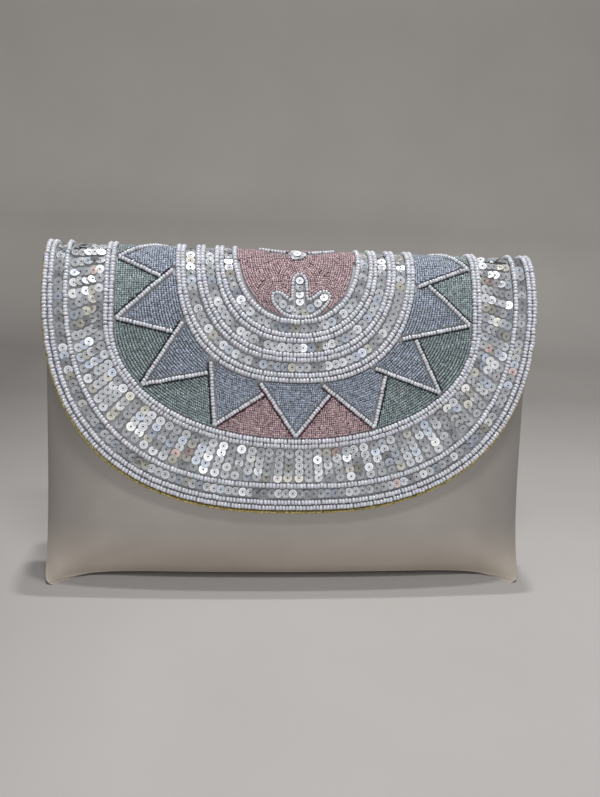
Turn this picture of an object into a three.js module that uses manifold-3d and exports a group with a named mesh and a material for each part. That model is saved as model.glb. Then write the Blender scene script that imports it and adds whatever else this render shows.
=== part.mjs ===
import * as THREE from "three";
import Module from "manifold-3d";

const wasm = await Module();
wasm.setup();

const { degToRad, lerp, smoothstep } = THREE.MathUtils;

// Driving sizes in millimetres: X runs across the clutch, its front faces -Y, and Z is up from the table.
const HEIGHT = 169.2; // table to the top of the flap's fold
const FOLD_Y = 11.63; // the fold's top line
const CLOTH = 2; // walls of the flap and the pouch
const GAP = 0.35; // clearance between neighbouring pieces

// Flap: seen from the side, its outer face is a run of arcs from the fold's top line down the front.
const FLAP = { half: 124.6, depth: 137 }; // half width, and length of cloth down the front
const FLAP_BACK = 40; // cloth behind the fold's top line, sewn to the pouch
const FLAP_BOW = 5; // how far the flap's side edges lie behind its middle
const FOLD_RADIUS = 14;
const FOLD_ARC = FOLD_RADIUS * degToRad(52);
const BACK_ARC = FOLD_RADIUS * degToRad(96);
const SHOULDER_RADIUS = 62;
const SHOULDER_ARC = SHOULDER_RADIUS * degToRad(25);
const BELLY_RADIUS = 650;
const EDGING_RADIUS = 0.6;

// Beadwork: rings that follow the flap's edge, from the edge inwards. side and foot are a ring's widths at
// the fold and at the flap's lowest point, thick is the height of its beads or sequins.
const RINGS = [
  { name: "border_beads", side: 5.5, foot: 5.7, thick: 2.0, look: "pearl" },
  { name: "border_sequins", side: 4.0, foot: 5.0, thick: 1.2, look: "sequin" },
  { name: "border_row", side: 2.5, foot: 2.6, thick: 2.0, look: "pearl" },
  { name: "sequin_bars", side: 16.5, foot: 17.0, thick: 1.2, look: "sequin" },
  { name: "petal_border", side: 4.9, foot: 4.7, thick: 2.0, look: "pearl" },
  { name: "petal_ring", side: 28.6, foot: 27.4, thick: 1.3, look: "blue" },
  { name: "centre_beads_1", side: 4.5, foot: 5.0, thick: 2.0, look: "pearl" },
  { name: "centre_sequins_1", side: 4.6, foot: 4.6, thick: 1.2, look: "sequin" },
  { name: "centre_beads_2", side: 4.6, foot: 4.7, thick: 2.0, look: "pearl" },
  { name: "centre_sequins_2", side: 4.0, foot: 3.9, thick: 1.2, look: "sequin" },
  { name: "centre_beads_3", side: 4.6, foot: 5.0, thick: 2.0, look: "pearl" },
  { name: "centre_sequins_3", side: 3.6, foot: 3.7, thick: 1.2, look: "sequin" },
  { name: "centre_beads_4", side: 2.0, foot: 2.3, thick: 2.0, look: "pearl" },
];
const BEAD_BACK = 33; // the beadwork's end behind the fold's top line
const FIELD_THICK = 1.3;

// Form of a ring's lines by half width: straight sides down to `straight`, then a foot rounded with `power`.
const LINE_FORMS = [
  { half: 31, straight: 5, power: 2.26 },
  { half: 40, straight: 9, power: 2.3 },
  { half: 61, straight: 6.4, power: 2.57 },
  { half: 89, straight: 46.7, power: 2.07 },
  { half: 113, straight: 20, power: 2.65 },
  { half: 125, straight: 25, power: 2.55 },
];

// Petal ring: places of the petals' tips and roots as turns along its edges, 0 at the foot, 1 at the fold.
const PETAL_TIPS = [-1.137, -0.926, -0.732, -0.509, -0.253, 0.004, 0.256, 0.494, 0.737, 0.923, 1.137];
const PETAL_ROOTS = [-1.07, -0.841, -0.606, -0.395, -0.156, 0.121, 0.369, 0.548, 0.795, 1.07];
const ROSE_GAPS = [4, 5]; // the two gaps beside the foot
const OUTLINE_WIDTH = 2.2; // the bead line round the petals
const OUTLINE_INSET = 3.2; // from its corners to the ring's edges
const FIELD_EDGE = 0.15; // from a field's base to the ring's edge
const FIELD_INSET = 2.6; // from a field's corners to its neighbours along the ring's edges
const FIELD_CLEARANCE = OUTLINE_WIDTH / 2 + GAP; // from the bead line's middle to a field
const FIELD_END = 1; // width of a field's narrow end

// Middle motif: leaves given by base and tip on the flap, across and down from the fold's top line.
const LEAVES = [
  { name: "motif_left", base: [-1.6, 39.2], tip: [-12.8, 28.9], width: 6.6 },
  { name: "motif_middle", base: [1.3, 37.6], tip: [1.3, 17.5], width: 7.6 },
  { name: "motif_right", base: [4.2, 39.2], tip: [16.2, 28], width: 6.6 },
];
const LEAF_THICK = 1.0;
const LEAF_ROUND = 0.5; // lower is rounder at a leaf's ends
const LEAF_ENDS = [0.06, 0.98]; // where its rounded ends are cut off, as shares of its length
const ROSETTE = { across: 0.4, down: 5.6, radius: 4.6 };

// Pouch: the side seam leans back and flicks forward into the lower corners.
const POUCH_HALF_WIDTH = 124.8;
const CORNER_PRESSED = 16; // height to which the lower corners are pressed solid
const CORNER_ROUND = 5; // radius of the lower corners' tips
const SEAM_HALF = 1.6; // half the thickness of a pressed side seam
const HOLLOW_SEAM_HALF = 0.4; // half the hollow's thickness at its sides
const SEAM_FOOT = -4.5; // where the leaning seam would meet the table
const SEAM_LEAN = 0.085;
const CORNER_FLICK = 15;
const CORNER_REACH = 22;
const FULLNESS = { power: 5, rise: 0.6 }; // how the pouch fills from its side seams to its middle
const CORNER_FULLNESS = { power: 9, rise: 1.3 }; // the same at the table, where its corners lie flat
const POUCH_CLEARANCE = 0.5; // to the flap's inner face

// Front of the pouch's middle section: distances down the flap, under which it runs.
const FRONT_RUN = [33, 45, 61, 81, 103, 123, 139.5];

// The rest of the middle section, from the flap's edge round the bottom and up the back. seamZ is the same
// place on the side seam, and side is -1 on the front, 1 on the back.
const LOWER_RUN = [
  { y: -23.5, z: 28, seamZ: 28, side: -1 },
  { y: -20.4, z: 17, seamZ: 14, side: -1 },
  { y: -15.6, z: 8.4, seamZ: 5, side: -1 },
  { y: -10.4, z: 2.6, seamZ: 1.4, side: -0.9 },
  { y: -6, z: 0, seamZ: 0, side: -0.5 },
  { y: 9, z: 0, seamZ: 0, side: 0.5 },
  { y: 12.6, z: 2.6, seamZ: 1.4, side: 0.9 },
  { y: 14.4, z: 8.4, seamZ: 5, side: 1 },
  { y: 15.2, z: 17, seamZ: 14, side: 1 },
  { y: 15.9, z: 29, seamZ: 28, side: 1 },
  { y: 16.9, z: 44, seamZ: 44, side: 1 },
  { y: 18.1, z: 63, seamZ: 63, side: 1 },
  { y: 19.5, z: 85, seamZ: 85, side: 1 },
  { y: 20.6, z: 106, seamZ: 106, side: 1 },
  { y: 21.3, z: 126, seamZ: 126, side: 1 },
  { y: 21.5, z: 140, seamZ: 140, side: 1 },
  { y: 22.6, z: 151, seamZ: 151, side: 1 },
];

// Mesh steps
const FOLD_ROWS = 8;
const FOOT_STEP = 12;
const FLAP_COLUMNS = 16;
const FLAP_ROWS = 11;
const LINE_SAMPLES = 160;
const FIELD_COLUMNS = 3;
const FOLD_COLUMNS = 8; // in the fields that cross the fold
const FOLD_TURN = 0.93;
const FIELD_ROWS = 4;
const LEAF_ROWS = 6;
const CENTRE_COLUMNS = 6;
const CENTRE_ROWS = 6;
const ROSETTE_STEPS = 4;
const OUTLINE_STEPS = 5;
const EDGING_SIDES = 8;
const EDGING_STEPS = 54;
const POUCH_STATIONS = 18;

// Colour, roughness and metalness of each finish
const LOOKS = {
  leather: { color: 0x8d8377, roughness: 0.45, metalness: 0 },
  cloth: { color: 0x77706a, roughness: 0.8, metalness: 0 },
  gold: { color: 0xa08a4a, roughness: 0.35, metalness: 1 },
  pearl: { color: 0xd9d6d2, roughness: 0.25, metalness: 0 },
  sequin: { color: 0xb9b8b4, roughness: 0.2, metalness: 0.7 },
  blue: { color: 0x8a93a6, roughness: 0.35, metalness: 0 },
  green: { color: 0x8f9a8c, roughness: 0.35, metalness: 0 },
  rose: { color: 0xa9898c, roughness: 0.35, metalness: 0 },
};

function alongArc(place, radius, length) {
  const heading = place.heading + length / radius;
  return {
    y: place.y + radius * (Math.sin(heading) - Math.sin(place.heading)),
    z: place.z - radius * (Math.cos(heading) - Math.cos(place.heading)),
    heading,
  };
}

// The flap's outer face in profile, at a distance down the front (or, below 0, behind the fold's top line).
function profile(s) {
  const top = { y: FOLD_Y, z: HEIGHT, heading: Math.PI };
  if (s < -BACK_ARC) {
    const end = alongArc(top, FOLD_RADIUS, -BACK_ARC);
    const beyond = s + BACK_ARC;
    return {
      y: end.y + beyond * Math.cos(end.heading),
      z: end.z + beyond * Math.sin(end.heading),
      heading: end.heading,
    };
  }
  const fold = alongArc(top, FOLD_RADIUS, Math.min(s, FOLD_ARC));
  if (s <= FOLD_ARC) {
    return fold;
  }
  const shoulder = alongArc(fold, SHOULDER_RADIUS, Math.min(s - FOLD_ARC, SHOULDER_ARC));
  if (s <= FOLD_ARC + SHOULDER_ARC) {
    return shoulder;
  }
  return alongArc(shoulder, BELLY_RADIUS, s - FOLD_ARC - SHOULDER_ARC);
}

function frontBow(u) {
  return FLAP_BOW * (u / FLAP.half) ** 2;
}

// A place on the flap, `u` across and `s` down it, raised by `lift` from its outer face.
function onFlap([u, s], lift) {
  const place = profile(s);
  const fade = smoothstep(s, -BACK_ARC, FOLD_ARC);
  const across = new THREE.Vector3(1, (2 * fade * frontBow(u)) / (u || 1), 0);
  const normal = new THREE.Vector3(0, Math.cos(place.heading), Math.sin(place.heading));
  normal.cross(across).normalize();
  return new THREE.Vector3(u, place.y + fade * frontBow(u), place.z).addScaledVector(normal, lift);
}

function range(count, value) {
  return Array.from({ length: count }, (_, i) => value(i));
}

function mixed(a, b, t) {
  return [lerp(a[0], b[0], t), lerp(a[1], b[1], t)];
}

// A closed solid through equal closed loops of points, with each end closed in strips from side to side.
function loft(loops) {
  const count = loops[0].length;
  const last = (loops.length - 1) * count;
  const faces = [];
  for (let i = 0; i < last; i += count) {
    for (let j = 0; j < count; j += 1) {
      const next = (j + 1) % count;
      faces.push([i + j, i + next, i + count + j], [i + next, i + count + next, i + count + j]);
    }
  }
  for (let j = 0; j + 1 < count / 2; j += 1) {
    const across = count - 1 - j;
    faces.push([across - 1, j + 1, j], [across, across - 1, j]);
    faces.push([last + j, last + j + 1, last + across - 1], [last + j, last + across - 1, last + across]);
  }
  const points = loops.flat();
  const volume = faces.reduce((sum, [a, b, c]) => {
    return sum + points[a].dot(points[b].clone().cross(points[c]));
  }, 0);
  const outward = volume > 0 ? faces : faces.map(([a, b, c]) => [a, c, b]);
  const geometry = new THREE.BufferGeometry().setFromPoints(points);
  geometry.setIndex(outward.flat());
  return geometry;
}

// A layer on the flap through rows of places, between two heights above the flap's outer face.
function layer(rows, low, high) {
  return loft(rows.map((row) => {
    const under = row.map((place) => onFlap(place, low));
    const over = row.map((place) => onFlap(place, high));
    return [...under, ...over.reverse()];
  }));
}

function lineForm(half) {
  const next = LINE_FORMS.findIndex((form) => form.half >= half);
  const upper = next < 0 ? LINE_FORMS.length - 1 : Math.max(next, 1);
  const a = LINE_FORMS[upper - 1];
  const b = LINE_FORMS[upper];
  const t = (half - a.half) / (b.half - a.half);
  return { straight: lerp(a.straight, b.straight, t), power: lerp(a.power, b.power, t) };
}

// Half width of a line at a distance down the flap, and how far down it lies at a distance across.
function halfWidthAt({ half, depth }, s) {
  const { straight, power } = lineForm(half);
  const down = Math.max(s - straight, 0) / (depth - straight);
  return half * (1 - down ** power) ** (1 / power);
}

function depthAt({ half, depth }, u) {
  const { straight, power } = lineForm(half);
  const across = Math.min(Math.abs(u) / half, 1);
  return straight + (depth - straight) * (1 - across ** power) ** (1 / power);
}

// The right half of a line, from its foot up to the place that lies `end` down the flap.
function halfLine(line, end) {
  const { straight, power } = lineForm(line.half);
  const points = range(LINE_SAMPLES + 1, (i) => {
    const angle = (Math.PI / 2) * (i / LINE_SAMPLES);
    const u = line.half * Math.sin(angle) ** (2 / power);
    const s = straight + (line.depth - straight) * Math.max(Math.cos(angle), 0) ** (2 / power);
    return [u, s];
  });
  return [...points.filter(([, s]) => s > end), [halfWidthAt(line, end), end]];
}

function lengthOf(points) {
  return points.slice(1).reduce((sum, point, i) => {
    return sum + Math.hypot(point[0] - points[i][0], point[1] - points[i][1]);
  }, 0);
}

function walk(points, distance) {
  let left = distance;
  for (let i = 1; i < points.length; i += 1) {
    const step = lengthOf([points[i - 1], points[i]]);
    if (left <= step) {
      return mixed(points[i - 1], points[i], left / step);
    }
    left -= step;
  }
  return points.at(-1);
}

// The place on a line at a turn: 0 at its foot, 1 and -1 where it crosses the fold's top line.
function atTurn(line, turn) {
  const top = lengthOf(halfLine(line, 0));
  const [u, s] = walk(halfLine(line, -BEAD_BACK), Math.abs(turn) * top);
  return [Math.sign(turn) * u, s];
}

// Rows of the fold, from the shoulder to behind it, which every layer that crosses the fold shares.
function foldRows(back) {
  const rows = range(FOLD_ROWS + 1, (i) => lerp(FOLD_ARC, -BACK_ARC, i / FOLD_ROWS));
  return [...rows, -back];
}

// A line's places from its left end round its foot to its right end, with `steps` on each half of the foot.
function stations(line, steps, back) {
  const foot = halfLine(line, FOLD_ARC);
  const length = lengthOf(foot);
  const right = [
    ...range(steps, (i) => walk(foot, (length * i) / steps)),
    ...foldRows(back).map((s) => [halfWidthAt(line, s), s]),
  ];
  const left = right.slice(1).map(([u, s]) => [-u, s]);
  return [...left.reverse(), ...right];
}

function footSteps(line) {
  return Math.ceil(lengthOf(halfLine(line, FOLD_ARC)) / FOOT_STEP);
}

function inset({ half, depth }, amount) {
  return { half: half - amount, depth: depth - amount };
}

// Each ring's outer and inner lines, laid out from the flap's edge inwards.
function layOutRings() {
  let outer = inset(FLAP, GAP);
  return RINGS.map((ring) => {
    const inner = { half: outer.half - ring.side, depth: outer.depth - ring.foot };
    const laid = { ...ring, outer, inner };
    outer = inset(inner, GAP);
    return laid;
  });
}

function ringGeometry({ outer, inner, thick }) {
  const steps = footSteps(outer);
  const outside = stations(outer, steps, BEAD_BACK);
  const inside = stations(inner, steps, BEAD_BACK);
  return layer(outside.map((place, i) => [inside[i], place]), GAP, GAP + thick);
}

function flapGeometry() {
  const columns = range(FLAP_COLUMNS + 1, (i) => {
    return FLAP.half * Math.sin((Math.PI / 2) * lerp(-1, 1, i / FLAP_COLUMNS));
  });
  const behind = foldRows(FLAP_BACK).reverse().map((s) => columns.map((u) => [u, s]));
  const front = range(FLAP_ROWS, (i) => {
    return columns.map((u) => [u, lerp(FOLD_ARC, depthAt(FLAP, u), (i + 1) / FLAP_ROWS)]);
  });
  return layer([...behind, ...front], -CLOTH, 0);
}

// Gold cord along the flap's edge
function edgingGeometry() {
  const line = inset(FLAP, -EDGING_RADIUS - GAP);
  const places = stations(line, footSteps(line), FLAP_BACK);
  const path = new THREE.CatmullRomCurve3(places.map((place) => onFlap(place, -CLOTH / 2)));
  const corners = range(EDGING_SIDES, (i) => {
    const angle = (2 * Math.PI * i) / EDGING_SIDES;
    return new THREE.Vector2(EDGING_RADIUS * Math.cos(angle), EDGING_RADIUS * Math.sin(angle));
  });
  return new THREE.ExtrudeGeometry(new THREE.Shape(corners), { steps: EDGING_STEPS, extrudePath: path });
}

// The bead line that zigzags between the petal ring's edges, from tip to root to tip
function outlineGeometry(tipLine, rootLine) {
  const corners = PETAL_TIPS.flatMap((tip, i) => {
    const root = PETAL_ROOTS[i];
    return root === undefined ? [atTurn(tipLine, tip)] : [atTurn(tipLine, tip), atTurn(rootLine, root)];
  }).map(([u, s]) => new THREE.Vector2(u, s));
  const rows = [];
  corners.forEach((corner, i) => {
    const before = corners[i - 1] ?? corner.clone().multiplyScalar(2).sub(corners[i + 1]);
    const after = corners[i + 1] ?? corner.clone().multiplyScalar(2).sub(before);
    const arriving = corner.clone().sub(before).normalize();
    const leaving = after.clone().sub(corner).normalize();
    const side = arriving.clone().add(leaving).normalize();
    side.set(-side.y, side.x);
    const mitre = OUTLINE_WIDTH / 2 / Math.abs(side.dot(new THREE.Vector2(-leaving.y, leaving.x)));
    rows.push([corner.clone().addScaledVector(side, -mitre), corner.clone().addScaledVector(side, mitre)]);
  });
  const finer = rows.flatMap((row, i) => {
    const next = rows[i + 1];
    const steps = next ? OUTLINE_STEPS : 1;
    return range(steps, (k) => row.map((place, j) => {
      return next ? mixed(place.toArray(), next[j].toArray(), k / steps) : place.toArray();
    }));
  });
  return layer(finer, GAP, GAP + RINGS[0].thick);
}

// A field of beads between two sides of the zigzag: its base follows one of the petal ring's edges from turn
// to turn, and it narrows towards the corner where the sides meet
function fieldGeometry({ edge, corners, from, to }, meeting) {
  const short = FIELD_INSET / lengthOf(halfLine(edge, 0));
  const left = new THREE.Vector2(...atTurn(corners, from));
  const right = new THREE.Vector2(...atTurn(corners, to));
  const end = new THREE.Vector2(...meeting);
  const across = right.clone().sub(left).normalize();
  const [leftPad, rightPad] = [left, right].map((corner) => {
    return FIELD_CLEARANCE / Math.abs(across.cross(end.clone().sub(corner).normalize()));
  });
  const reach = 1 - (leftPad + rightPad + FIELD_END) / left.distanceTo(right);
  const endLeft = left.lerp(end, reach).addScaledVector(across, leftPad).toArray();
  const endRight = right.lerp(end, reach).addScaledVector(across, -rightPad).toArray();
  const columns = Math.max(-from, to) > FOLD_TURN ? FOLD_COLUMNS : FIELD_COLUMNS;
  const rows = range(FIELD_ROWS + 1, (i) => range(columns + 1, (j) => {
    const turn = lerp(from + short, to - short, j / columns);
    return mixed(atTurn(edge, turn), mixed(endLeft, endRight, j / columns), i / FIELD_ROWS);
  }));
  return layer(rows, GAP, GAP + FIELD_THICK);
}

// The part of a petal that the beadwork's end cuts off behind the fold; side is -1 on the left
function cutPetalGeometry({ outer, inner }, side) {
  const tip = atTurn(outer, side * PETAL_TIPS.at(-1));
  const root = atTurn(inner, side * PETAL_ROOTS.at(-1));
  const rows = range(FIELD_ROWS + 1, (i) => {
    const [u, s] = mixed(root, tip, i / FIELD_ROWS);
    return range(FOLD_COLUMNS + 1, (j) => [u, lerp(s - FIELD_INSET, -BEAD_BACK, j / FOLD_COLUMNS)]);
  });
  return layer(rows, GAP, GAP + FIELD_THICK);
}

function centreGeometry(line) {
  const across = range(CENTRE_COLUMNS + 1, (i) => Math.sin((Math.PI / 2) * lerp(-1, 1, i / CENTRE_COLUMNS)));
  const behind = foldRows(BEAD_BACK).reverse().map((s) => across.map((a) => [a * halfWidthAt(line, s), s]));
  const front = range(CENTRE_ROWS, (i) => across.map((a) => {
    const u = a * halfWidthAt(line, FOLD_ARC);
    return [u, lerp(FOLD_ARC, depthAt(line, u), (i + 1) / CENTRE_ROWS)];
  }));
  return layer([...behind, ...front], GAP, GAP + FIELD_THICK);
}

// A sequin leaf of the middle motif, on top of the centre field
function leafGeometry({ base, tip, width }) {
  const along = new THREE.Vector2(tip[0] - base[0], tip[1] - base[1]);
  const side = new THREE.Vector2(-along.y, along.x).normalize();
  const rows = range(LEAF_ROWS + 1, (i) => {
    const t = lerp(...LEAF_ENDS, i / LEAF_ROWS);
    const half = (width / 2) * Math.sin(Math.PI * t) ** LEAF_ROUND;
    const [u, s] = mixed(base, tip, t);
    return [[u - half * side.x, s - half * side.y], [u, s], [u + half * side.x, s + half * side.y]];
  });
  const low = GAP + FIELD_THICK + GAP;
  return layer(rows, low, low + LEAF_THICK);
}

function rosetteGeometry() {
  const rows = range(ROSETTE_STEPS + 1, (i) => range(ROSETTE_STEPS + 1, (j) => {
    const a = lerp(-1, 1, i / ROSETTE_STEPS);
    const b = lerp(-1, 1, j / ROSETTE_STEPS);
    const u = ROSETTE.across + ROSETTE.radius * b * Math.sqrt(1 - a ** 2 / 2);
    const s = ROSETTE.down + ROSETTE.radius * a * Math.sqrt(1 - b ** 2 / 2);
    return [u, s];
  }));
  const low = GAP + FIELD_THICK + GAP;
  return layer(rows, low, low + LEAF_THICK);
}

function seamY(z) {
  return SEAM_FOOT + SEAM_LEAN * z - CORNER_FLICK * Math.exp(-z / CORNER_REACH);
}

// The pouch's middle section from the front's top edge round the bottom to the back's top edge
function middleSection() {
  const front = FRONT_RUN.map((s) => {
    const point = onFlap([0, s], -CLOTH - POUCH_CLEARANCE);
    return { y: point.y, z: point.z, seamZ: point.z, side: -1 };
  });
  return [...front, ...LOWER_RUN];
}

// An end of a section drawn on in its own direction
function drawnOn(end, before) {
  const on = (key) => 2 * end[key] - before[key];
  return { y: on("y"), z: on("z"), seamZ: on("seamZ"), side: end.side };
}

// The section moved inwards by the wall, with its ends drawn on through the mouth
function innerSection(section) {
  const inner = section.map((row, i) => {
    const before = section[Math.max(i - 1, 0)];
    const after = section[Math.min(i + 1, section.length - 1)];
    const along = new THREE.Vector2(after.y - before.y, after.z - before.z).normalize();
    return {
      y: row.y - along.y * CLOTH,
      z: row.z + along.x * CLOTH,
      seamZ: row.seamZ + CORNER_PRESSED * Math.exp(-row.seamZ / CORNER_PRESSED),
      side: row.side,
    };
  });
  return [drawnOn(inner[0], inner[1]), ...inner, drawnOn(inner.at(-1), inner.at(-2))];
}

// How far a lower corner's rounded tip lies inside the side seam's line
function tipInset(seamZ) {
  const below = Math.max(1 - seamZ / CORNER_ROUND, 0);
  return CORNER_ROUND * (1 - Math.sqrt(1 - below ** 2));
}

// How far the pouch has filled, from 0 at its side seams to 1 in its middle
function fillAt(across, seamZ) {
  const corner = Math.exp(-seamZ / CORNER_REACH);
  const power = lerp(FULLNESS.power, CORNER_FULLNESS.power, corner);
  const rise = lerp(FULLNESS.rise, CORNER_FULLNESS.rise, corner);
  return (1 - Math.abs(across) ** power) ** rise;
}

// A solid through the section, filling from thin side seams to its middle
function pouchBody(section, { halfWidth, seamHalf }) {
  const loops = range(POUCH_STATIONS + 1, (i) => {
    const across = Math.sin((Math.PI / 2) * lerp(-1, 1, i / POUCH_STATIONS));
    return section.map(({ y, z, seamZ, side }) => {
      const fill = fillAt(across, seamZ);
      const bow = frontBow(across * halfWidth) * Math.max(-side, 0);
      return new THREE.Vector3(
        across * (halfWidth - tipInset(seamZ)),
        lerp(seamY(seamZ) + side * seamHalf, y + bow, fill),
        lerp(seamZ, z, fill),
      );
    });
  });
  return loft(loops);
}

function toSolid(geometry) {
  return new wasm.Manifold(new wasm.Mesh({
    numProp: 3,
    vertProperties: new Float32Array(geometry.attributes.position.array),
    triVerts: new Uint32Array(geometry.index.array),
  }));
}

function fromSolid(solid) {
  const mesh = solid.getMesh();
  const geometry = new THREE.BufferGeometry();
  geometry.setAttribute("position", new THREE.BufferAttribute(mesh.vertProperties, mesh.numProp));
  geometry.setIndex(new THREE.BufferAttribute(mesh.triVerts, 1));
  return geometry;
}

function pouchGeometry() {
  const section = middleSection();
  const outer = { halfWidth: POUCH_HALF_WIDTH, seamHalf: SEAM_HALF };
  const inner = { halfWidth: POUCH_HALF_WIDTH - 2 * CLOTH, seamHalf: HOLLOW_SEAM_HALF };
  const outside = toSolid(pouchBody(section, outer));
  return fromSolid(outside.subtract(toSolid(pouchBody(innerSection(section), inner))));
}

const clutch = new THREE.Group();

function add(name, look, geometry) {
  geometry.computeVertexNormals();
  const mesh = new THREE.Mesh(geometry, new THREE.MeshStandardMaterial(LOOKS[look]));
  mesh.name = name;
  clutch.add(mesh);
}

add("pouch", "leather", pouchGeometry());
add("flap", "cloth", flapGeometry());
add("flap_edging", "gold", edgingGeometry());

const rings = layOutRings();
const petalRing = rings.find((ring) => ring.name === "petal_ring");
for (const ring of rings.filter((each) => each !== petalRing)) {
  add(ring.name, ring.look, ringGeometry(ring));
}

const tipLine = inset(petalRing.outer, OUTLINE_INSET);
const rootLine = inset(petalRing.inner, -OUTLINE_INSET);
const outerEdge = inset(petalRing.outer, FIELD_EDGE);
const innerEdge = inset(petalRing.inner, -FIELD_EDGE);
add("petal_outline", "pearl", outlineGeometry(tipLine, rootLine));
for (let i = 1; i < PETAL_ROOTS.length; i += 1) {
  const base = { edge: innerEdge, corners: rootLine, from: PETAL_ROOTS[i - 1], to: PETAL_ROOTS[i] };
  add(`petal_${i}`, "blue", fieldGeometry(base, atTurn(tipLine, PETAL_TIPS[i])));
}
for (let i = 0; i < PETAL_ROOTS.length; i += 1) {
  const base = { edge: outerEdge, corners: tipLine, from: PETAL_TIPS[i], to: PETAL_TIPS[i + 1] };
  const look = ROSE_GAPS.includes(i) ? "rose" : "green";
  add(`gap_${i}`, look, fieldGeometry(base, atTurn(rootLine, PETAL_ROOTS[i])));
}
add("petal_0", "blue", cutPetalGeometry(petalRing, -1));
add(`petal_${PETAL_ROOTS.length}`, "blue", cutPetalGeometry(petalRing, 1));

add("centre_field", "rose", centreGeometry(inset(rings.at(-1).inner, GAP)));
for (const leaf of LEAVES) {
  add(leaf.name, "sequin", leafGeometry(leaf));
}
add("fold_rosette", "sequin", rosetteGeometry());

export default clutch;
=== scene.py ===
import math

import bpy
import numpy as np
from mathutils import Matrix, Vector


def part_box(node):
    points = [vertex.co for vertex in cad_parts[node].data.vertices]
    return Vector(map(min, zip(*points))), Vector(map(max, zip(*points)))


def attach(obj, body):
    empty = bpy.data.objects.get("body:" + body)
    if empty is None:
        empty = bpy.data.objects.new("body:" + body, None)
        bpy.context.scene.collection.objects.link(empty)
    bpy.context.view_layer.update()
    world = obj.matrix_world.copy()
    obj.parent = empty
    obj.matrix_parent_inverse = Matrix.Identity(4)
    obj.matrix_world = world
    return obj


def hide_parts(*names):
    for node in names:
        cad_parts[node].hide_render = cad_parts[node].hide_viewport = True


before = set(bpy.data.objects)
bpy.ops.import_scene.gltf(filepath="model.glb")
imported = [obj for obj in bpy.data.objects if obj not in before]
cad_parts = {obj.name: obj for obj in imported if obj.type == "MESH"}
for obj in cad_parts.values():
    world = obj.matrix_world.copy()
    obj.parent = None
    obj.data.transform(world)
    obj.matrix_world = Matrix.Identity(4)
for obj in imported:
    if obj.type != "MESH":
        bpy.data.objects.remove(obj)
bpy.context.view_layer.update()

# Sizes are in millimetres, in the part's frame; the meshes are made in metres.
MM = 0.001
rng = np.random.default_rng(11)

# Flap: its outer face in profile is a run of arcs from the fold's top line down the front.
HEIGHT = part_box("flap")[1][2] / MM
FOLD_Y = 11.63
CLOTH = 2.0
GAP = 0.35
FLAP_HALF = 124.6
FLAP_DEPTH = 137.0
FLAP_BACK = 40.0
FLAP_BOW = 5.0
FOLD_RADIUS = 14.0
FOLD_ARC = FOLD_RADIUS * math.radians(52)
BACK_ARC = FOLD_RADIUS * math.radians(96)
SHOULDER_RADIUS = 62.0
SHOULDER_ARC = SHOULDER_RADIUS * math.radians(25)
BELLY_RADIUS = 650.0
BEAD_BACK = 33.0

# Rings of beadwork from the flap's edge inwards: node, width at the fold, width at the foot
RINGS = (
    ("border_beads", 5.5, 5.7),
    ("border_sequins", 4.0, 5.0),
    ("border_row", 2.5, 2.6),
    ("sequin_bars", 16.5, 17.0),
    ("petal_border", 4.9, 4.7),
    ("petal_ring", 28.6, 27.4),
    ("centre_beads_1", 4.5, 5.0),
    ("centre_sequins_1", 4.6, 4.6),
    ("centre_beads_2", 4.6, 4.7),
    ("centre_sequins_2", 4.0, 3.9),
    ("centre_beads_3", 4.6, 5.0),
    ("centre_sequins_3", 3.6, 3.7),
    ("centre_beads_4", 2.0, 2.3),
)
SINGLE_ROWS = ("border_row", "centre_beads_4")
PAIR_INSET = 0.25

# Form of a ring's lines by half width: where its straight sides end, and the power that rounds its foot
FORM_HALF = (31, 40, 61, 89, 113, 125)
FORM_STRAIGHT = (5, 9, 6.4, 46.7, 20, 25)
FORM_POWER = (2.26, 2.3, 2.57, 2.07, 2.65, 2.55)

# Petal ring: places of the tips and roots as turns along its edges, 0 at the foot and 1 at the fold
PETAL_TIPS = (-1.137, -0.926, -0.732, -0.509, -0.253, 0.004, 0.256, 0.494, 0.737, 0.923, 1.137)
PETAL_ROOTS = (-1.07, -0.841, -0.606, -0.395, -0.156, 0.121, 0.369, 0.548, 0.795, 1.07)
PETAL_INSET = 1.0
ROSE_GAPS = (4, 5)

# Shares of the petals' bead lines: where a short one meets a long one, and how far aside it ends there
JUNCTION = 0.17
JUNCTION_ASIDE = 0.055

# Middle motif on the flap, across and down from the fold's top line: its bead outline and its sequins
MOTIF_OUTLINE = (
    (1.2, 17.4), (4.4, 20.0), (4.8, 26.0), (4.8, 31.8), (8.0, 30.2), (11.8, 26.4), (15.8, 27.0),
    (16.4, 30.8), (12.0, 36.2), (7.0, 39.4), (1.2, 39.8), (-4.6, 39.4), (-8.8, 36.8), (-12.8, 31.6),
    (-11.8, 27.6), (-8.0, 28.0), (-4.8, 30.8), (-2.4, 32.2), (-2.4, 26.0), (-2.0, 20.0),
)
MOTIF_SEQUINS = (
    (1.2, 21.4), (1.2, 25.0), (1.2, 28.6), (1.3, 32.2), (-9.5, 30.8), (-7.0, 33.6), (-3.8, 35.6),
    (13.3, 29.6), (10.2, 32.6), (6.6, 35.2), (1.3, 35.8), (-1.2, 37.4), (4.0, 37.4),
)
MOTIF_TONE = 0.92
MOTIF_SCALE = 0.9
CORNER_CUTS = 3
ECHO_ROWS = 6

# Sequin rosette on the fold, with a spray of beads on either side
ROSETTE = (0.4, 5.6)
ROSETTE_RADIUS = 4.6
ROSETTE_SPOKE = 2.7
ROSETTE_PETALS = 6
ROSETTE_TONE = 1.7
SPRAYS = (((-19.0, 0.5), (-12.0, 3.4), (-5.2, 4.6)), ((20.0, 0.5), (13.0, 3.4), (6.0, 4.6)))

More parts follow.
